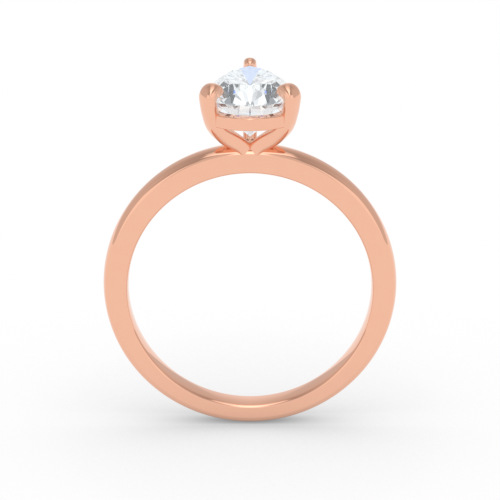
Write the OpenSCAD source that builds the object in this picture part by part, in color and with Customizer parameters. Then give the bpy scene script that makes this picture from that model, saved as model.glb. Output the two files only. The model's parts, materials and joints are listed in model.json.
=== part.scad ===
// Solitaire engagement ring: a tapering D-section shank, a three-claw peg head and a pear brilliant.
// The finger bore runs along Y, the stone is up (+Z), and the pear's point is at the back (+Y).

/* [Size] */
// Ring size: inner circumference of the finger bore in millimetres
ring_size = 53; // [46:1:62]

/* [Shank] */
// Width of the shank along the finger
shank_w = 1.85; // [1.6:0.05:2.4]
// Thickness of the shank under the head
shank_t_top = 1.96; // [1.8:0.02:2.2]
// Thickness of the shank opposite the head
shank_t_bottom = 1.54; // [1.3:0.02:1.8]
// Radius that softens the two edges of the bore
bore_edge_r = 0.22; // [0.1:0.02:0.3]
// Radius of the shoulder between a flat side and the domed outside
shoulder_r = 0.48; // [0.3:0.02:0.6]
// Radius of the domed outside, across the shank
dome_r = 1.60; // [1.2:0.1:3]

/* [Stone] */
// Width of the pear across its round end
stone_w = 6.0; // [5.8:0.05:6.2]
// Length of the pear from round end to point
stone_l = 9.0; // [8.8:0.05:9.4]
// Height of the crown, from girdle to table
crown_h = 0.95; // [0.8:0.01:1.1]
// Thickness of the girdle
girdle_h = 0.16; // [0.14:0.01:0.24]
// Depth of the pavilion, from girdle to culet
pavilion_h = 2.84; // [2.6:0.05:3]
// Gap between the culet and the top of the shank
culet_gap = 0.46; // [0.4:0.02:0.8]

/* [Head] */
// Angle of each side claw from the round end, about the culet
claw_angle = 60; // [54:1:66]
// Height of the gallery rail
rail_h = 0.88; // [0.7:0.02:0.96]
// How far the rail stands out beyond the girdle, which brings it flush with the claws
rail_out = 0.15; // [0.05:0.01:0.2]
// Radial thickness of the rail
rail_t = 0.85; // [0.7:0.01:0.95]
// Radius of the peg that locates the head in the shank
peg_r = 0.56; // [0.5:0.02:0.6]
// Depth that the peg is let into the shank
peg_depth = 1.20; // [0.8:0.05:1.4]

/* [Hidden] */

GOLD = "#e9b193";
STONE = "#eef2f6";
FAR = 40;
SMOOTH = 96;

// Shank: the outer circle is larger than the bore and set towards the head, so the shank tapers.
bore_r = ring_size / (2 * PI);
outer_r = bore_r + (shank_t_top + shank_t_bottom) / 2;
outer_z = (shank_t_top - shank_t_bottom) / 2;
half_w = shank_w / 2;
shoulder_x = half_w - shoulder_r;
shoulder_rho = outer_r - dome_r + sqrt(pow(dome_r - shoulder_r, 2) - pow(shoulder_x, 2));
shoulder_end = atan2(shoulder_x, shoulder_rho - (outer_r - dome_r));
shank_top = outer_z + outer_r;

// Stone: a half circle closed by two long arcs that meet in the point.
round_r = stone_w / 2;
point_y = stone_l - round_r;
side_r = (point_y * point_y + round_r * round_r) / (2 * round_r);
side_c = side_r - round_r;
culet_z = shank_top + culet_gap;
girdle_z = culet_z + pavilion_h;
crown_z = girdle_z + girdle_h;
table_z = crown_z + crown_h;
star_share = 0.46;
lower_half_share = 0.24;
OUTLINE_STEP = 3;

// Gallery rail, below the girdle.
rail_top = culet_z + 2.08;
peg_top = shank_top;

// Stations up a side claw: distance from the culet's axis, height above the shank's top,
// thickness, width, and squareness of the section, where 2 is an ellipse.
SIDE_CLAW = [
    [0.36, -0.90, 1.14, 1.30, 4.0], [0.42, -0.46, 1.10, 1.30, 4.5], [0.92, 0.07, 1.08, 1.36, 4.0],
    [1.84, 0.72, 1.20, 1.50, 3.0], [2.69, 1.49, 0.98, 1.50, 2.6], [3.05, 2.42, 0.95, 1.50, 2.4],
    [3.19, 3.14, 0.96, 1.50, 2.4], [3.21, 3.66, 1.00, 1.48, 2.5], [2.96, 3.94, 1.12, 1.38, 2.4],
    [2.66, 3.88, 1.08, 1.20, 2.1]
];
// Stations up the claw at the point.
POINT_CLAW = [
    [0.36, -0.90, 1.00, 1.00, 2.6], [0.46, -0.40, 1.00, 1.00, 2.6], [1.50, 0.14, 0.94, 0.98, 2.6],
    [3.10, 0.72, 0.90, 0.96, 2.6], [4.72, 1.40, 0.86, 0.96, 2.6], [5.83, 2.32, 0.86, 0.96, 2.5],
    [6.27, 3.24, 0.84, 0.96, 2.4], [6.18, 3.92, 0.84, 0.94, 2.3], [5.84, 4.22, 0.78, 0.90, 2.2],
    [5.54, 4.22, 0.66, 0.82, 2.0]
];
SPAN_STEPS = 5;
SECTION_POINTS = 28;
TIP_ROUNDS = 5;

// ---- Small functions ----

function unit(v) = v / norm(v);
function turned(v, a) = [v.x * cos(a) - v.y * sin(a), v.x * sin(a) + v.y * cos(a)];
function signed_power(v, p) = sign(v) * pow(abs(v), p);

// ---- Shank ----

function dome_profile() = [
    for (a = [90:-6:shoulder_end]) [shoulder_rho + shoulder_r * cos(a), shoulder_x + shoulder_r * sin(a)],
    for (a = [shoulder_end:-3:-shoulder_end]) [outer_r - dome_r + dome_r * cos(a), dome_r * sin(a)],
    for (a = [-shoulder_end:-6:-90]) [shoulder_rho + shoulder_r * cos(a), -shoulder_x + shoulder_r * sin(a)]
];

// A disc as thick as the shank, whose rim is the domed outside.
module outer_disc() {
    translate([0, 0, outer_z]) rotate([90, 0, 0])
        rotate_extrude($fn = 180) polygon(concat([[0, half_w]], dome_profile(), [[0, -half_w]]));
}

// The finger bore, flared by a quarter round at each end.
module bore_cutter() {
    edge = bore_r + bore_edge_r;
    rotate([90, 0, 0]) {
        cylinder(r = bore_r, h = 2 * shank_w, center = true, $fn = 180);
        for (side = [-1, 1]) rotate_extrude($fn = 180) polygon(concat(
            [[0, side * (half_w - bore_edge_r)]],
            [for (a = [0:10:90]) [edge - bore_edge_r * cos(a), side * (half_w - bore_edge_r + bore_edge_r * sin(a))]],
            [[edge, side * shank_w], [0, side * shank_w]]));
    }
}

module peg_seat() {
    translate([0, 0, shank_top - peg_depth]) cylinder(r = peg_r, h = peg_depth + 1, $fn = 64);
}

module shank() {
    color(GOLD) difference() {
        outer_disc();
        bore_cutter();
        peg_seat();
    }
}

// ---- Peg ----

module peg_base() {
    color(GOLD) translate([0, 0, shank_top - peg_depth])
        cylinder(r = peg_r, h = peg_depth + peg_top - shank_top, $fn = 64);
}

// ---- Pear outline and gallery rail ----

// The stone's outline seen from above, moved outwards by grow.
module pear_2d(grow) {
    circle(r = round_r + grow, $fn = SMOOTH);
    intersection() {
        translate([-side_c, 0]) circle(r = side_r + grow, $fn = 2 * SMOOTH);
        translate([side_c, 0]) circle(r = side_r + grow, $fn = 2 * SMOOTH);
        translate([-FAR, 0]) square([2 * FAR, FAR]);
    }
}

module rail_loop() {
    translate([0, 0, rail_top - rail_h]) linear_extrude(rail_h) difference() {
        pear_2d(rail_out);
        pear_2d(rail_out - rail_t);
    }
}

module gallery_rail() {
    color(GOLD) difference() {
        rail_loop();
        stone_body();
    }
}

// ---- Claws ----

// Catmull-Rom curve through the stations, as one row of five like theirs.
function spline(p, i, t) =
    let (a = p[max(i - 1, 0)], b = p[i], c = p[i + 1], d = p[min(i + 2, len(p) - 1)])
    0.5 * (2 * b + (c - a) * t + (2 * a - 5 * b + 4 * c - d) * t * t + (3 * b - a - 3 * c + d) * t * t * t);
function run_of(p) = [
    for (i = [0:len(p) - 2]) for (k = [0:SPAN_STEPS - 1]) spline(p, i, k / SPAN_STEPS),
    p[len(p) - 1]
];
function heading(run, i) =
    let (a = run[max(i - 1, 0)], b = run[min(i + 1, len(run) - 1)]) unit([b.x - a.x, b.y - a.y]);

// One ring of the sweep: a rounded rectangle square to the run, share times full size, moved ahead.
function ring(run, i, share, ahead) =
    let (h = heading(run, i), s = run[i], thick = s.z / 2 * share, wide = s[3] / 2 * share)
    [for (k = [0:SECTION_POINTS - 1])
        let (
            a = 360 * k / SECTION_POINTS,
            u = signed_power(cos(a), 2 / s[4]) * thick,
            v = signed_power(sin(a), 2 / s[4]) * wide
        )
        [s.x + h.x * ahead + h.y * u, v, shank_top + s.y + h.y * ahead - h.x * u]];

module claw_sweep(stations) {
    run = run_of(stations);
    last = len(run) - 1;
    tip_r = stations[len(stations) - 1].z / 2;
    rings = concat(
        [for (i = [0:last]) ring(run, i, 1, 0)],
        [for (k = [1:TIP_ROUNDS]) let (a = 84 * k / TIP_ROUNDS) ring(run, last, cos(a), tip_r * sin(a))]);
    n = SECTION_POINTS;
    count = len(rings);
    polyhedron(
        points = [for (r = rings) each r],
        faces = concat(
            [for (r = [0:count - 2]) for (k = [0:n - 1])
                each [[r * n + k, (r + 1) * n + k, r * n + (k + 1) % n],
                      [r * n + (k + 1) % n, (r + 1) * n + k, (r + 1) * n + (k + 1) % n]]],
            [[for (k = [0:n - 1]) k]],
            [[for (k = [n - 1:-1:0]) (count - 1) * n + k]]),
        convexity = 6);
}

// The share of the head that belongs to one claw, so that the feet meet face to face on the axis.
module sector(bearing, next, before) {
    linear_extrude(FAR) polygon([
        [0, 0], FAR * [cos(before), sin(before)], 2 * FAR * [cos(bearing), sin(bearing)],
        FAR * [cos(next), sin(next)]
    ]);
}

// A claw turned to its place, with seats for the stone and the rail and a foot that fits the shank.
module claw(stations, bearing, next, before) {
    color(GOLD) difference() {
        intersection() {
            rotate([0, 0, bearing]) claw_sweep(stations);
            sector(bearing, next, before);
        }
        stone_body();
        rail_loop();
        outer_disc();
        peg_base();
    }
}

module claw_left() { claw(SIDE_CLAW, -90 - claw_angle, -90, -210); }
module claw_right() { claw(SIDE_CLAW, -90 + claw_angle, 30, -90); }
module claw_tip() { claw(POINT_CLAW, 90, 150, 30); }

// ---- Stone ----

// Outline places run from 0 at the round end, through 90 at the widest, to side_end at the point.
side_end = 90 + asin(point_y / side_r);
function outline_normal(q) =
    let (a = min(abs(q), side_end) - 90) abs(q) > side_end ? [0, 1] : [sign(q) * cos(a), sin(a)];
function outline_point(q) =
    abs(q) <= 90 ? round_r * [sin(q), -cos(q)]
    : abs(q) >= side_end ? [0, point_y]
    : let (a = abs(q) - 90) [sign(q) * (side_r * cos(a) - side_c), side_r * sin(a)];

// Eight mains and, between them, the eight places where pairs of halves meet on the girdle.
MAINS = [0, 45, 90, 116, 180, -116, -90, -45];
CROWN_SLOPES = [34.5, 34.5, 35.5, 40, 27.5, 40, 35.5, 34.5];
HALVES = [22.5, 67.5, 103, 134, -134, -103, -67.5, -22.5];

// A plane is [normal, offset]; its inside is where normal * point <= offset.
function plane_at(n, p) = [n, n * p];
function plane_through(p, q, r) = let (n = unit(cross(q - p, r - p))) plane_at(n, p);
function meet(a, b, c) =
    (a[1] * cross(b[0], c[0]) + b[1] * cross(c[0], a[0]) + c[1] * cross(a[0], b[0]))
    / (a[0] * cross(b[0], c[0]));
function height_on(plane, xy) = (plane[1] - plane[0].x * xy.x - plane[0].y * xy.y) / plane[0].z;
function at_height(xy, z) = [xy.x, xy.y, z];
function level(z) = [[0, 0, 1], z];

main_xy = [for (q = MAINS) outline_point(q)];
half_xy = [for (q = HALVES) outline_point(q)];

crown_mains = [for (i = [0:7])
    let (n = outline_normal(MAINS[i]), s = CROWN_SLOPES[i])
    plane_at([n.x * sin(s), n.y * sin(s), cos(s)], at_height(main_xy[i], crown_z))];
table_corners = [for (i = [0:7])
    let (n = outline_normal(MAINS[i])) at_height(main_xy[i] - n * crown_h / tan(CROWN_SLOPES[i]), table_z)];
star_points = [for (j = [0:7])
    meet(crown_mains[j], crown_mains[(j + 1) % 8], level(table_z - star_share * crown_h))];
upper_halves = [for (j = [0:7]) each [
    plane_through(star_points[j], at_height(main_xy[j], crown_z), at_height(half_xy[j], crown_z)),
    plane_through(star_points[j], at_height(half_xy[j], crown_z), at_height(main_xy[(j + 1) % 8], crown_z))]];

culet = [0, 0, culet_z];
pavilion_mains = [for (i = [0:7])
    let (n = outline_normal(MAINS[i]), g = at_height(main_xy[i], girdle_z))
    plane_through(g, g + [-n.y, n.x, 0], culet)];
keel_points = [for (j = [0:7])
    let (
        d = cross(pavilion_mains[j][0], pavilion_mains[(j + 1) % 8][0]),
        reach = lower_half_share * norm(half_xy[j]) / norm([d.x, d.y])
    )
    culet + d * (d.z > 0 ? reach : -reach)];
lower_halves = [for (j = [0:7]) each [
    plane_through(keel_points[j], at_height(half_xy[j], girdle_z), at_height(main_xy[j], girdle_z)),
    plane_through(keel_points[j], at_height(main_xy[(j + 1) % 8], girdle_z), at_height(half_xy[j], girdle_z))]];

girdle_xy = [for (q = concat(
    [for (q = [-side_end + OUTLINE_STEP / 2:OUTLINE_STEP:side_end - OUTLINE_STEP / 2]) q], MAINS, HALVES))
    outline_point(q)];
girdle_points = [for (p = girdle_xy) each [
    at_height(p, min([for (f = upper_halves) height_on(f, p)])),
    at_height(p, max([for (f = lower_halves) height_on(f, p)]))]];

// The pear brilliant: table, stars, mains and halves meet in the points above.
module stone_body() {
    corners = concat(table_corners, star_points, girdle_points, keel_points, [culet]);
    hull() polyhedron(points = corners, faces = [[for (i = [0:len(corners) - 1]) i]]);
}

module pear_diamond() {
    color(STONE) stone_body();
}

shank();
peg_base();
gallery_rail();
claw_left();
claw_right();
claw_tip();
pear_diamond();
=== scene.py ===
"""Looks of a pear solitaire ring: polished rose gold, a pear brilliant and a plain white studio.

The metal pieces are finer meshes of the frame's own nodes, in the same places and sizes. The stone is
the frame's own node with a new material. All sizes below are in millimetres unless a name says otherwise.
"""
import json
import math

import bmesh
import bpy
import numpy as np
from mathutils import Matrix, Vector


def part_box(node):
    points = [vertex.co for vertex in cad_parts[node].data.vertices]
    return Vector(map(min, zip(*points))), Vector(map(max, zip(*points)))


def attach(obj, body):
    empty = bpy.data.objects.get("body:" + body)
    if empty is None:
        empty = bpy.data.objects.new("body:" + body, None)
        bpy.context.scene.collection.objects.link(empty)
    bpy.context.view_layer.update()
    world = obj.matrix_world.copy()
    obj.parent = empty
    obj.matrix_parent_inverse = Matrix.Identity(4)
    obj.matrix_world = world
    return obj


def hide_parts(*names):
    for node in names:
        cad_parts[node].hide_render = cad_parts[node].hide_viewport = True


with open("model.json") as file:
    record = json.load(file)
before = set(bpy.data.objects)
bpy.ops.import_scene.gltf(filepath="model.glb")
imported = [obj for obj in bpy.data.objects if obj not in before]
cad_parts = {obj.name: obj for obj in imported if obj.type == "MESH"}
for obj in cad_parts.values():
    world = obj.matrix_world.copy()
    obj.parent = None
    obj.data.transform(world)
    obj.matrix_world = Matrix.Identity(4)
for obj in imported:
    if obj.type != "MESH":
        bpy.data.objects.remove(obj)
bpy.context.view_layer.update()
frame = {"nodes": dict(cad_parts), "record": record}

MM = 0.001
BODY = "root"
MERGE_METRES = 1e-8

# ---- Sizes read from the frame ----


def node_box(node):
    """The lowest and highest corners of a node in millimetres."""
    low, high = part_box(node)
    return [v / MM for v in low], [v / MM for v in high]


SHANK_LOW, SHANK_HIGH = node_box("shank")
STONE_LOW, STONE_HIGH = node_box("pear_diamond")
RAIL_LOW, RAIL_HIGH = node_box("gallery_rail")
PEG_LOW, PEG_HIGH = node_box("peg_base")

STONE = frame["nodes"]["pear_diamond"]

HALF_W = SHANK_HIGH[1]
OUTER_R = (SHANK_HIGH[0] - SHANK_LOW[0]) / 2
SHANK_TOP = PEG_HIGH[2]
OUTER_Z = SHANK_TOP - OUTER_R
BORE_R = frame["record"]["mounts"][0]["dims"]["r_mm"]

ROUND_R = STONE_HIGH[0]
POINT_Y = STONE_HIGH[1]
SIDE_R = (POINT_Y**2 + ROUND_R**2) / (2 * ROUND_R)
SIDE_C = SIDE_R - ROUND_R

RAIL_OUT = RAIL_HIGH[0] - ROUND_R

# ---- Sizes that the frame doesn't hold ----

# The band's section: the bore's edges and crown, the shoulders and the domed outside.
BORE_EDGE_R = 0.22
BORE_CROWN_R = 5.5
SHOULDER_R = 0.48
DOME_R = 1.60
BORE_EDGE_STEPS = 8
BORE_CROWN_STEPS = 14
SHOULDER_STEPS = 14
DOME_STEPS = 16
# A narrow strip of the flat sides beside each rounded edge, which keeps their shading flat.
SIDE_STRIP = 0.03
BAND_STEPS = 360

RAIL_T = 0.85
RAIL_EDGE_R = 0.09
RAIL_EDGE_STEPS = 6
RAIL_STEPS = 240
# Share of the pear's outline, on each side, that is the half circle.
ROUND_SHARE = 0.46

PEG_EDGE_R = 0.06
PEG_EDGE_STEPS = 4
# The peg's mesh turns around a hair-thin hole on its axis, so that all its faces have four sides.
PEG_HOLE_R = 0.02
PEG_STEPS = 64

# Claw stations: distance from the culet's axis, height above the shank, thickness, width, squareness.
SIDE_CLAW = [
    (0.36, -0.90, 1.14, 1.30, 4.0), (0.42, -0.46, 1.10, 1.30, 4.5), (0.92, 0.07, 1.08, 1.36, 4.0),
    (1.84, 0.72, 1.20, 1.50, 3.0), (2.69, 1.49, 0.98, 1.50, 2.6), (3.05, 2.42, 0.95, 1.50, 2.4),
    (3.19, 3.14, 0.96, 1.50, 2.4), (3.21, 3.66, 1.00, 1.48, 2.5), (2.96, 3.94, 1.12, 1.38, 2.4),
    (2.66, 3.88, 1.08, 1.20, 2.1),
]
POINT_CLAW = [
    (0.36, -0.90, 1.00, 1.00, 2.6), (0.46, -0.40, 1.00, 1.00, 2.6), (1.50, 0.14, 0.94, 0.98, 2.6),
    (3.10, 0.72, 0.90, 0.96, 2.6), (4.72, 1.40, 0.86, 0.96, 2.6), (5.83, 2.32, 0.86, 0.96, 2.5),
    (6.27, 3.24, 0.84, 0.96, 2.4), (6.18, 3.92, 0.84, 0.94, 2.3), (5.84, 4.22, 0.78, 0.90, 2.2),
    (5.54, 4.22, 0.66, 0.82, 2.0),
]
CLAW_ANGLE = 60
CLAW_SPAN_STEPS = 12
CLAW_POINTS = 56
CLAW_END_ROUNDS = 10
CLAW_END_DEGREES = 86
# Gap between the claws' seats and the stone, so that their faces don't coincide.
SEAT_GAP = 0.01
SHARP_DEGREES = 35
PEG_SHARP_DEGREES = 40

# ---- Materials: tones, and noise as (scale, detail) ----

GOLD_DARK = (0.880, 0.490, 0.345, 1)
GOLD_LIGHT = (0.900, 0.510, 0.362, 1)
GOLD_TONE_NOISE = (900, 3)
GOLD_WEAR_NOISE = (2500, 4)
GOLD_ROUGHNESS = (0.025, 0.06)
GOLD_BUMP_STRENGTH = 0.02
GOLD_BUMP_METRES = 0.00001

DIAMOND_IOR = 2.42
DIAMOND_DARK = (0.985, 0.992, 1.0, 1)
DIAMOND_LIGHT = (1.0, 1.0, 1.0, 1)
DIAMOND_TONE_NOISE = (600, 2)
DIAMOND_GRAIN_NOISE = (4000, 3)
DIAMOND_ROUGHNESS = (0.0, 0.004)

# ---- Floor and camera ----

FLOOR_HALF = 600
FLOOR_GAP = 0.002
SHADE_REACH_METRES = 0.025
SHADE_SAMPLES = 16
SHADE_DARKEST = 0.25

CAMERA_PITCH_DEGREES = 18.46
CAMERA_DISTANCE = 129.6
CAMERA_AIM_Z = 2.76
CAMERA_LENS = 135
CAMERA_SENSOR = 36
CAMERA_CLIP_METRES = 0.005

# A brilliant needs many internal reflections.
ALL_BOUNCES = 96
SURFACE_BOUNCES = 64

# ---- Light levels, where 1 is paper white ----
#
# A direction is given by its x (aside), y (towards the back) and z (up). A pair is where a light begins
# and where it is full, along one of them or past the light's edge.

DIFFUSE_LIGHT = 1.12

# Grey walls by how far they are aside, lighter at the back.
WALL_LEVEL = [(0.35, 0.44), (0.5, 0.50), (0.65, 0.58), (0.8, 0.69), (0.95, 0.72)]
BACK_LEVEL = 0.85
BACK_SHARE = 0.6
BACK_FADE = (0.4, 0.9)

# A doorway straight in front of the ring, and the bright front of the room on both sides of it.
DOORWAY_LEVEL = 0.78
DOORWAY_FADE = (-0.7, -0.85)
DOORWAY_SIDE = (0.33, 0.27)
FRONT_LEVEL = 1.1
# Along y, with the direction laid flat.
FRONT_FADE = (-0.49, -0.53)
FRONT_TOP = (0.41, 0.375)
FRONT_SIDE = (0.27, 0.33)
# Keeps a direction straight up or down from a division by zero.
FLAT_LEAST = 0.001

# What is under the horizon.
GROUND_LEVEL = 1.02
GROUND_FADE = (0.004, -0.004)

# The overhead lamp from front (0) to back (1): how far it reaches to each side, and half its brightness.
LAMP_HALF_WIDTH = [(0.03, 0.06), (0.25, 0.39), (0.67, 0.39), (0.73, 0.30), (0.85, 0.22), (1.0, 0.25)]
LAMP_HALF_LEVEL = [
    (0.0, 0.90), (0.2, 0.88), (0.3, 0.75), (0.4, 0.67), (0.5, 0.58), (0.6, 0.51), (0.7, 0.45),
    (0.78, 0.42), (0.87, 0.37), (0.93, 0.41), (0.98, 0.48),
]
# How the lamp dims to each side.
LAMP_FALLOFF = [(0.0, 1.0), (0.12, 0.93), (0.25, 0.84), (0.40, 0.74)]
LAMP_EDGE = (0.03, -0.03)

# The bright, cloudy light that the stone gathers, as a ramp over noise.
GEM_NOISE = (8.0, 3.0)
GEM_LIGHT = [(0.38, (0.42, 0.43, 0.45, 1)), (0.46, (0.80, 0.83, 0.87, 1)), (0.54, (1.06, 1.09, 1.08, 1))]
# Dark and coloured cards in that light: how far aside (on both sides) and back each one is, its
# half width, its half depth and its colour.
GEM_CARDS = [
    (0.50, -0.24, 0.40, 0.09, (0.05, 0.05, 0.06, 1)),
    (0.42, 0.11, 0.24, 0.07, (0.05, 0.05, 0.06, 1)),
    (0.48, 0.48, 0.38, 0.08, (0.25, 0.26, 0.28, 1)),
    (0.55, -0.48, 0.30, 0.10, (0.45, 0.46, 0.50, 1)),
    (0.18, 0.80, 0.20, 0.18, (0.30, 0.31, 0.34, 1)),
    (0.00, -0.12, 0.08, 0.09, (0.20, 0.27, 0.36, 1)),
    (0.74, 0.12, 0.05, 0.05, (0.20, 0.40, 1.20, 1)),
]
# In half sizes, squared.
CARD_EDGE = (1.15, 0.85)
CARD_FADE = (-0.01, 0.01)
# Blue light from below and behind.
GEM_BELOW = (0.50, 0.66, 1.00, 1)
BELOW_FADE = (-0.6, -0.7)
BELOW_NEAR = (0.12, 0.18)
BELOW_FAR = (0.48, 0.42)
# Even light for rays that have bounced many times.
GEM_DEEP = (0.84, 0.93, 0.97, 1)
DEEP_BOUNCES = (6.5, 9.5)

# ---- Mesh helpers ----


def new_piece(name, verts, faces, node, material):
    """A closed smooth mesh in metres that stands for a node and rides with the ring."""
    mesh = bpy.data.meshes.new(name)
    mesh.from_pydata([tuple(c * MM for c in v) for v in verts], [], faces)
    piece = bpy.data.objects.new(name, mesh)
    bpy.context.collection.objects.link(piece)
    tidy_mesh(mesh)
    mesh.materials.append(material)
    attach(piece, BODY)
    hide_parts(node)
    piece.visible_transmission = False
    return piece


def tidy_mesh(mesh):
    """Merges doubled points and turns every face outwards."""
    bm = bmesh.new()
    bm.from_mesh(mesh)
    bmesh.ops.remove_doubles(bm, verts=bm.verts, dist=MERGE_METRES)
    bmesh.ops.recalc_face_normals(bm, faces=bm.faces)
    bm.to_mesh(mesh)
    bm.free()


def smooth_by_angle(mesh, degrees):
    """Smooth shading, except over edges sharper than this."""
    mesh.shade_smooth()
    mesh.set_sharp_from_angle(angle=math.radians(degrees))


def loft(rings, closed):
    """Faces between equal rings of points, ended by caps or closed into a loop."""
    n = len(rings[0])
    verts = [p for ring in rings for p in ring]
    spans = len(rings) if closed else len(rings) - 1
    faces = []
    for r in range(spans):
        a, b = r * n, ((r + 1) % len(rings)) * n
        for k in range(n):
            faces.append((a + k, a + (k + 1) % n, b + (k + 1) % n, b + k))
    if not closed:
        faces.append(tuple(range(n)))
        faces.append(tuple(range(len(verts) - 1, len(verts) - 1 - n, -1)))
    return verts, faces


def arc(cx, cy, r, start, end, steps):
    """Points on an arc, angles in degrees, both ends included."""
    points = []
    for k in range(steps + 1):
        a = math.radians(start + (end - start) * k / steps)
        points.append((cx + r * math.cos(a), cy + r * math.sin(a)))
    return points


# ---- Shank ----


def shank_profiles():
    """The section's outside and inside, as (distance from its own centre, y)."""
    x = HALF_W - SHOULDER_R
    rho = OUTER_R - DOME_R + math.sqrt((DOME_R - SHOULDER_R) ** 2 - x**2)
    end = math.degrees(math.atan2(x, rho - (OUTER_R - DOME_R)))
    outside = arc(rho, x, SHOULDER_R, 90, end, SHOULDER_STEPS)
    outside += arc(OUTER_R - DOME_R, 0, DOME_R, end, -end, DOME_STEPS)[1:]
    outside += arc(rho, -x, SHOULDER_R, -end, -90, SHOULDER_STEPS)[1:]
    tilt = math.degrees(math.asin((HALF_W - BORE_EDGE_R) / (BORE_CROWN_R - BORE_EDGE_R)))
    reach = (BORE_CROWN_R - BORE_EDGE_R) * math.cos(math.radians(tilt))
    crown = BORE_R + BORE_CROWN_R
    edge = crown - reach
    y = HALF_W - BORE_EDGE_R
    inside = arc(edge, -y, BORE_EDGE_R, 270, 180 + tilt, BORE_EDGE_STEPS)
    inside += arc(crown, 0, BORE_CROWN_R, 180 + tilt, 180 - tilt, BORE_CROWN_STEPS)[1:]
    inside += arc(edge, y, BORE_EDGE_R, 180 - tilt, 90, BORE_EDGE_STEPS)[1:]
    return outside, inside


def make_shank(material):
    """The band: its outside turns about a higher centre than its bore, which makes the taper."""
    outside, inside = shank_profiles()
    top = (outside[0][0] - SIDE_STRIP, HALF_W)
    foot = (inside[-1][0] + SIDE_STRIP, HALF_W)
    rings = []
    for k in range(BAND_STEPS):
        a = 2 * math.pi * k / BAND_STEPS
        s, c = math.sin(a), math.cos(a)
        ring = [(rho * s, y, OUTER_Z + rho * c) for rho, y in [top] + outside + [(top[0], -top[1])]]
        ring += [(rho * s, y, rho * c) for rho, y in [(foot[0], -foot[1])] + inside + [foot]]
        rings.append(ring)
    verts, faces = loft(rings, closed=True)
    piece = new_piece("shank_band", verts, faces, "shank", material)
    piece.data.shade_smooth()


# ---- Pear outline ----


def pear_at(share, grow):
    """A point of the stone's outline moved outwards: share 0 and 1 are the point, 0.5 the round end."""
    side = -1 if share < 0.5 else 1
    u = abs(share - 0.5) * 2
    if u < ROUND_SHARE:
        a = math.radians(90 * u / ROUND_SHARE)
        r = ROUND_R + grow
        return side * r * math.sin(a), -r * math.cos(a)
    r = SIDE_R + grow
    a = math.acos(SIDE_C / r) * (u - ROUND_SHARE) / (1 - ROUND_SHARE)
    return side * (r * math.cos(a) - SIDE_C), r * math.sin(a)


def make_rail(material):
    """The pear-shaped rail under the girdle, with eased edges."""
    z0, z1, e = RAIL_LOW[2], RAIL_HIGH[2], RAIL_EDGE_R
    steps = RAIL_EDGE_STEPS
    section = arc(-e, z1 - e, e, 0, 90, steps) + arc(-RAIL_T + e, z1 - e, e, 90, 180, steps)
    section += arc(-RAIL_T + e, z0 + e, e, 180, 270, steps) + arc(-e, z0 + e, e, 270, 360, steps)
    rings = []
    for k in range(RAIL_STEPS):
        share = k / RAIL_STEPS
        ring = []
        for into, z in section:
            x, y = pear_at(share, RAIL_OUT + into)
            ring.append((x, y, z))
        rings.append(ring)
    verts, faces = loft(rings, closed=True)
    piece = new_piece("gallery_rail_band", verts, faces, "gallery_rail", material)
    smooth_by_angle(piece.data, SHARP_DEGREES)


def make_peg(material):
    """The peg in the band's socket, with an eased lower edge."""
    r, z0, e = PEG_HIGH[0], PEG_LOW[2], PEG_EDGE_R
    section = [(PEG_HOLE_R, z0)] + arc(r - e, z0 + e, e, -90, 0, PEG_EDGE_STEPS)
    section += [(r, PEG_HIGH[2]), (PEG_HOLE_R, PEG_HIGH[2])]
    rings = [
        [(rho * math.cos(a), rho * math.sin(a), z) for rho, z in section]
        for a in (2 * math.pi * k / PEG_STEPS for k in range(PEG_STEPS))
    ]
    verts, faces = loft(rings, closed=True)
    piece = new_piece("head_peg", verts, faces, "peg_base", material)
    smooth_by_angle(piece.data, PEG_SHARP_DEGREES)


# ---- Claws ----


def spline(rows, i, t):
    """A Catmull-Rom curve through the stations."""
    a, b = np.array(rows[max(i - 1, 0)]), np.array(rows[i])
    c, d = np.array(rows[i + 1]), np.array(rows[min(i + 2, len(rows) - 1)])
    return 0.5 * (
        2 * b + (c - a) * t + (2 * a - 5 * b + 4 * c - d) * t**2 + (3 * b - a - 3 * c + d) * t**3
    )


def claw_rings(rows, bearing):
    """Rings of a claw's sweep, in its place, with a round end."""
    steps = CLAW_SPAN_STEPS
    run = [spline(rows, i, k / steps) for i in range(len(rows) - 1) for k in range(steps)]
    run.append(np.array(rows[-1]))
    turn = math.radians(bearing)
    ct, st = math.cos(turn), math.sin(turn)

    def ring(i, share, ahead):
        """The section at a step of the sweep, scaled by share and moved ahead along the sweep."""
        a, b = run[max(i - 1, 0)], run[min(i + 1, len(run) - 1)]
        h = (b - a)[:2] / np.linalg.norm((b - a)[:2])
        s = run[i]
        out = []
        for k in range(CLAW_POINTS):
            w = 2 * math.pi * (k + 0.5) / CLAW_POINTS
            u = math.copysign(abs(math.cos(w)) ** (2 / s[4]), math.cos(w)) * s[2] / 2 * share
            v = math.copysign(abs(math.sin(w)) ** (2 / s[4]), math.sin(w)) * s[3] / 2 * share
            r = s[0] + h[0] * ahead + h[1] * u
            z = SHANK_TOP + s[1] + h[1] * ahead - h[0] * u
            out.append((r * ct - v * st, r * st + v * ct, z))
        return out

    last = len(run) - 1
    rings = [ring(i, 1, 0) for i in range(len(run))]
    end_r = rows[-1][2] / 2
    for k in range(1, CLAW_END_ROUNDS + 1):
        a = math.radians(CLAW_END_DEGREES * k / CLAW_END_ROUNDS)
        rings.append(ring(last, math.cos(a), end_r * math.sin(a)))
    return rings


def cut_plane(bm, angle):
    """Keeps the side of an upright plane through the axis that is anticlockwise from the angle."""
    a = math.radians(angle)
    side = Vector((math.sin(a), -math.cos(a), 0))
    geom = bm.verts[:] + bm.edges[:] + bm.faces[:]
    cut = bmesh.ops.bisect_plane(bm, geom=geom, plane_co=(0, 0, 0), plane_no=side, clear_outer=True)
    edges = [e for e in cut["geom_cut"] if isinstance(e, bmesh.types.BMEdge)]
    if edges:
        bmesh.ops.holes_fill(bm, edges=edges)


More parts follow.
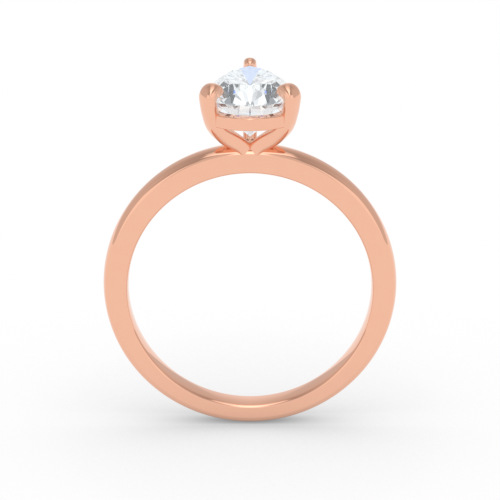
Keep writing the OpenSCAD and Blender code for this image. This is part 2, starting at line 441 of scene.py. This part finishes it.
def carve(piece, cutter):
    """Takes another solid away from a piece."""
    modifier = piece.modifiers.new("cut", "BOOLEAN")
    modifier.operation = "DIFFERENCE"
    modifier.solver = "EXACT"
    modifier.use_self = True
    modifier.object = cutter
    graph = bpy.context.evaluated_depsgraph_get()
    mesh = bpy.data.meshes.new_from_object(piece.evaluated_get(graph))
    piece.modifiers.clear()
    piece.data = mesh


def make_seat():
    """A copy of the stone, a hair larger, that cuts the claws' seats."""
    middle = Vector([(low + high) / 2 * MM for low, high in zip(STONE_LOW, STONE_HIGH)])
    grow = 1 + SEAT_GAP / ROUND_R
    mesh = STONE.data.copy()
    for vertex in mesh.vertices:
        vertex.co = middle + (vertex.co - middle) * grow
    seat = bpy.data.objects.new("seat", mesh)
    seat.matrix_world = STONE.matrix_world
    bpy.context.collection.objects.link(seat)
    return seat


def make_claw(name, node, rows, bearing, after, before, seat, material):
    """A claw between upright planes at two angles, so that it stops at its neighbours, with its seat."""
    verts, faces = loft(claw_rings(rows, bearing), closed=False)
    piece = new_piece(name, verts, faces, node, material)
    bm = bmesh.new()
    bm.from_mesh(piece.data)
    cut_plane(bm, after)
    cut_plane(bm, before + 180)
    bm.to_mesh(piece.data)
    bm.free()
    carve(piece, seat)
    smooth_by_angle(piece.data, SHARP_DEGREES)


# ---- Materials ----


def node_material(name):
    """A material with an empty node tree but for one surface shader."""
    material = bpy.data.materials.new(name)
    material.use_nodes = True
    tree = material.node_tree
    tree.nodes.clear()
    out = tree.nodes.new("ShaderNodeOutputMaterial")
    bsdf = tree.nodes.new("ShaderNodeBsdfPrincipled")
    tree.links.new(bsdf.outputs["BSDF"], out.inputs["Surface"])
    return material, tree, bsdf


def noise_node(tree, scale, detail):
    """Noise that stays with the object."""
    where = tree.nodes.new("ShaderNodeTexCoord")
    noise = tree.nodes.new("ShaderNodeTexNoise")
    noise.inputs["Scale"].default_value = scale
    noise.inputs["Detail"].default_value = detail
    tree.links.new(where.outputs["Object"], noise.inputs["Vector"])
    return noise


def vary_colour(tree, bsdf, noise, dark, light):
    """Base colour that drifts between two tones."""
    ramp = tree.nodes.new("ShaderNodeValToRGB")
    ramp.color_ramp.elements[0].color = dark
    ramp.color_ramp.elements[1].color = light
    tree.links.new(noise.outputs["Fac"], ramp.inputs["Fac"])
    tree.links.new(ramp.outputs["Color"], bsdf.inputs["Base Color"])


def vary_roughness(tree, bsdf, noise, low, high):
    """Polish that is a little uneven."""
    spread = tree.nodes.new("ShaderNodeMapRange")
    spread.inputs["To Min"].default_value = low
    spread.inputs["To Max"].default_value = high
    tree.links.new(noise.outputs["Fac"], spread.inputs["Value"])
    tree.links.new(spread.outputs["Result"], bsdf.inputs["Roughness"])


def rose_gold():
    """Polished 18 carat rose gold."""
    material, tree, bsdf = node_material("rose_gold_polished")
    bsdf.inputs["Metallic"].default_value = 1.0
    vary_colour(tree, bsdf, noise_node(tree, *GOLD_TONE_NOISE), GOLD_DARK, GOLD_LIGHT)
    wear = noise_node(tree, *GOLD_WEAR_NOISE)
    vary_roughness(tree, bsdf, wear, *GOLD_ROUGHNESS)
    bump = tree.nodes.new("ShaderNodeBump")
    bump.inputs["Strength"].default_value = GOLD_BUMP_STRENGTH
    bump.inputs["Distance"].default_value = GOLD_BUMP_METRES
    tree.links.new(wear.outputs["Fac"], bump.inputs["Height"])
    tree.links.new(bump.outputs["Normal"], bsdf.inputs["Normal"])
    return material


def diamond():
    """Clear diamond, with a trace of colour zoning and of polishing grain on its facets."""
    material, tree, bsdf = node_material("diamond_clear")
    bsdf.inputs["Transmission Weight"].default_value = 1.0
    bsdf.inputs["IOR"].default_value = DIAMOND_IOR
    vary_colour(tree, bsdf, noise_node(tree, *DIAMOND_TONE_NOISE), DIAMOND_DARK, DIAMOND_LIGHT)
    vary_roughness(tree, bsdf, noise_node(tree, *DIAMOND_GRAIN_NOISE), *DIAMOND_ROUGHNESS)
    return material


# ---- Stage, light and camera ----


def make_floor():
    """A white floor that glows evenly and is shaded where the ring stands close to it."""
    h = FLOOR_HALF
    z = SHANK_LOW[2] - FLOOR_GAP
    mesh = bpy.data.meshes.new("studio_floor")
    corners = [(-h, -h, z), (h, -h, z), (h, h, z), (-h, h, z)]
    mesh.from_pydata([tuple(c * MM for c in v) for v in corners], [], [(0, 1, 2, 3)])
    floor = bpy.data.objects.new("studio_floor", mesh)
    bpy.context.collection.objects.link(floor)
    material = bpy.data.materials.new("studio_white")
    material.use_nodes = True
    tree = material.node_tree
    tree.nodes.clear()
    out = tree.nodes.new("ShaderNodeOutputMaterial")
    shade = tree.nodes.new("ShaderNodeAmbientOcclusion")
    shade.samples = SHADE_SAMPLES
    shade.inputs["Distance"].default_value = SHADE_REACH_METRES
    level = tree.nodes.new("ShaderNodeMapRange")
    level.inputs["To Min"].default_value = SHADE_DARKEST
    level.inputs["To Max"].default_value = 1.0
    glow = tree.nodes.new("ShaderNodeEmission")
    tree.links.new(shade.outputs["AO"], level.inputs["Value"])
    tree.links.new(level.outputs["Result"], glow.inputs["Color"])
    tree.links.new(glow.outputs["Emission"], out.inputs["Surface"])
    mesh.materials.append(material)
    floor.visible_transmission = False


class Graph:
    """Short calls for the studio's node tree. A value is a number or another node's output."""

    def __init__(self, tree):
        self.tree = tree

    def put(self, socket, value):
        """Links an output to a socket, or sets the socket to a number or a colour."""
        if isinstance(value, bpy.types.NodeSocket):
            self.tree.links.new(value, socket)
        else:
            socket.default_value = value

    def math(self, operation, a, b=0.0):
        """One arithmetic operation on two values."""
        node = self.tree.nodes.new("ShaderNodeMath")
        node.operation = operation
        self.put(node.inputs[0], a)
        self.put(node.inputs[1], b)
        return node.outputs[0]

    def step(self, value, start, end):
        """0 before start, 1 after end, and smooth between them."""
        node = self.tree.nodes.new("ShaderNodeMapRange")
        node.interpolation_type = "SMOOTHSTEP"
        self.put(node.inputs["Value"], value)
        flip = start > end
        node.inputs["From Min"].default_value = end if flip else start
        node.inputs["From Max"].default_value = start if flip else end
        node.inputs["To Min"].default_value = 1.0 if flip else 0.0
        node.inputs["To Max"].default_value = 0.0 if flip else 1.0
        return node.outputs["Result"]

    def noise(self, where, scale, detail):
        """Noise over a direction."""
        node = self.tree.nodes.new("ShaderNodeTexNoise")
        self.put(node.inputs["Vector"], where)
        node.inputs["Scale"].default_value = scale
        node.inputs["Detail"].default_value = detail
        return node.outputs["Fac"]

    def ramp(self, value, stops):
        """A grey ramp through (place, level) stops."""
        return self.colours(value, [(place, (level, level, level, 1)) for place, level in stops])

    def colours(self, value, stops):
        """A ramp through (place, colour) stops."""
        node = self.tree.nodes.new("ShaderNodeValToRGB")
        self.put(node.inputs["Fac"], value)
        elements = node.color_ramp.elements
        while len(elements) < len(stops):
            elements.new(0.5)
        for element, (place, colour) in zip(elements, stops):
            element.position = place
            element.color = colour
        return node.outputs["Color"]

    def mix(self, share, a, b):
        """Colour a where share is 0 and b where it is 1."""
        node = self.tree.nodes.new("ShaderNodeMix")
        node.data_type = "RGBA"
        self.put(node.inputs["Factor"], share)
        self.put(node.inputs["A"], a)
        self.put(node.inputs["B"], b)
        return node.outputs["Result"]


def grey(level):
    """A neutral colour of this level."""
    return (level, level, level, 1)


def metal_surroundings(g, x, y, z, forward):
    """What polished metal mirrors: grey walls, a long overhead lamp and a white room in front."""
    aside = g.math("ABSOLUTE", x)
    along = g.math("MULTIPLY", g.math("ADD", y, 1.0), 0.5)
    back = g.math("MULTIPLY", g.step(y, *BACK_FADE), BACK_SHARE)
    colour = g.mix(back, g.ramp(aside, WALL_LEVEL), grey(BACK_LEVEL))
    doorway = g.math("MULTIPLY", g.step(y, *DOORWAY_FADE), g.step(aside, *DOORWAY_SIDE))
    colour = g.mix(doorway, colour, grey(DOORWAY_LEVEL))
    front = g.math("MULTIPLY", g.step(forward, *FRONT_FADE), g.step(z, *FRONT_TOP))
    front = g.math("MULTIPLY", front, g.step(aside, *FRONT_SIDE))
    colour = g.mix(front, colour, grey(FRONT_LEVEL))
    lamp = g.step(g.math("SUBTRACT", aside, g.ramp(along, LAMP_HALF_WIDTH)), *LAMP_EDGE)
    glow = g.math("MULTIPLY", g.ramp(along, LAMP_HALF_LEVEL), 2.0)
    glow = g.math("MULTIPLY", glow, g.ramp(aside, LAMP_FALLOFF))
    colour = g.mix(lamp, colour, glow)
    return g.mix(g.step(z, *GROUND_FADE), colour, grey(GROUND_LEVEL))


def gem_surroundings(g, where, x, y, z, bounces):
    """What the stone gathers: bright light broken by dark cards, which give it its contrast."""
    aside = g.math("ABSOLUTE", x)
    colour = g.colours(g.noise(where, *GEM_NOISE), GEM_LIGHT)
    for across, back, half_width, half_depth, tone in GEM_CARDS:
        u = g.math("DIVIDE", g.math("SUBTRACT", aside, across), half_width)
        v = g.math("DIVIDE", g.math("SUBTRACT", y, back), half_depth)
        away = g.math("ADD", g.math("MULTIPLY", u, u), g.math("MULTIPLY", v, v))
        card = g.math("MULTIPLY", g.step(away, *CARD_EDGE), g.step(z, *CARD_FADE))
        colour = g.mix(card, colour, tone)
    below = g.math("MULTIPLY", g.step(y, *BELOW_NEAR), g.step(y, *BELOW_FAR))
    below = g.math("MULTIPLY", g.step(z, *BELOW_FADE), below)
    colour = g.mix(below, colour, GEM_BELOW)
    return g.mix(g.step(bounces, *DEEP_BOUNCES), colour, GEM_DEEP)


def make_world():
    """The studio's light, which the floor, the metal and the stone each see in their own way."""
    world = bpy.data.worlds.new("studio")
    bpy.context.scene.world = world
    world.use_nodes = True
    world.cycles.sampling_method = "NONE"
    tree = world.node_tree
    tree.nodes.clear()
    g = Graph(tree)
    out = tree.nodes.new("ShaderNodeOutputWorld")
    light = tree.nodes.new("ShaderNodeBackground")
    where = tree.nodes.new("ShaderNodeTexCoord").outputs["Generated"]
    split = tree.nodes.new("ShaderNodeSeparateXYZ")
    tree.links.new(where, split.inputs[0])
    x, y, z = split.outputs
    flat = g.math("SQRT", g.math("SUBTRACT", 1.0, g.math("MULTIPLY", z, z)))
    forward = g.math("DIVIDE", y, g.math("MAXIMUM", flat, FLAT_LEAST))
    path = tree.nodes.new("ShaderNodeLightPath").outputs
    metal = metal_surroundings(g, x, y, z, forward)
    gem = gem_surroundings(g, where, x, y, z, path["Ray Depth"])
    seen = g.mix(path["Is Transmission Ray"], metal, gem)
    seen = g.mix(path["Is Diffuse Ray"], seen, grey(DIFFUSE_LIGHT))
    tree.links.new(seen, light.inputs["Color"])
    tree.links.new(light.outputs["Background"], out.inputs["Surface"])


def make_camera():
    """A long lens in front of the ring and a little above it."""
    pitch = math.radians(CAMERA_PITCH_DEGREES)
    data = bpy.data.cameras.new("camera")
    data.lens = CAMERA_LENS
    data.sensor_width = CAMERA_SENSOR
    data.clip_start = CAMERA_CLIP_METRES
    camera = bpy.data.objects.new("camera", data)
    bpy.context.collection.objects.link(camera)
    back = Vector((0, -math.cos(pitch), math.sin(pitch)))
    camera.location = (Vector((0, 0, CAMERA_AIM_Z)) + back * CAMERA_DISTANCE) * MM
    camera.rotation_euler = back.to_track_quat("Z", "Y").to_euler()
    bpy.context.scene.camera = camera


def set_bounces():
    """Lets light bounce often enough to leave the stone again."""
    cycles = bpy.context.scene.cycles
    cycles.max_bounces = ALL_BOUNCES
    cycles.glossy_bounces = SURFACE_BOUNCES
    cycles.transmission_bounces = SURFACE_BOUNCES


gold = rose_gold()
make_shank(gold)
make_rail(gold)
make_peg(gold)
seat = make_seat()
make_claw("claw_left_swept", "claw_left", SIDE_CLAW, -90 - CLAW_ANGLE, 150, -90, seat, gold)
make_claw("claw_right_swept", "claw_right", SIDE_CLAW, -90 + CLAW_ANGLE, -90, 30, seat, gold)
make_claw("claw_tip_swept", "claw_tip", POINT_CLAW, 90, 30, 150, seat, gold)
bpy.data.objects.remove(seat)
STONE.data.materials.clear()
STONE.data.materials.append(diamond())
STONE.data.shade_flat()
make_floor()
make_world()
make_camera()
set_bounces()
bpy.context.scene.view_settings.view_transform = "Standard"
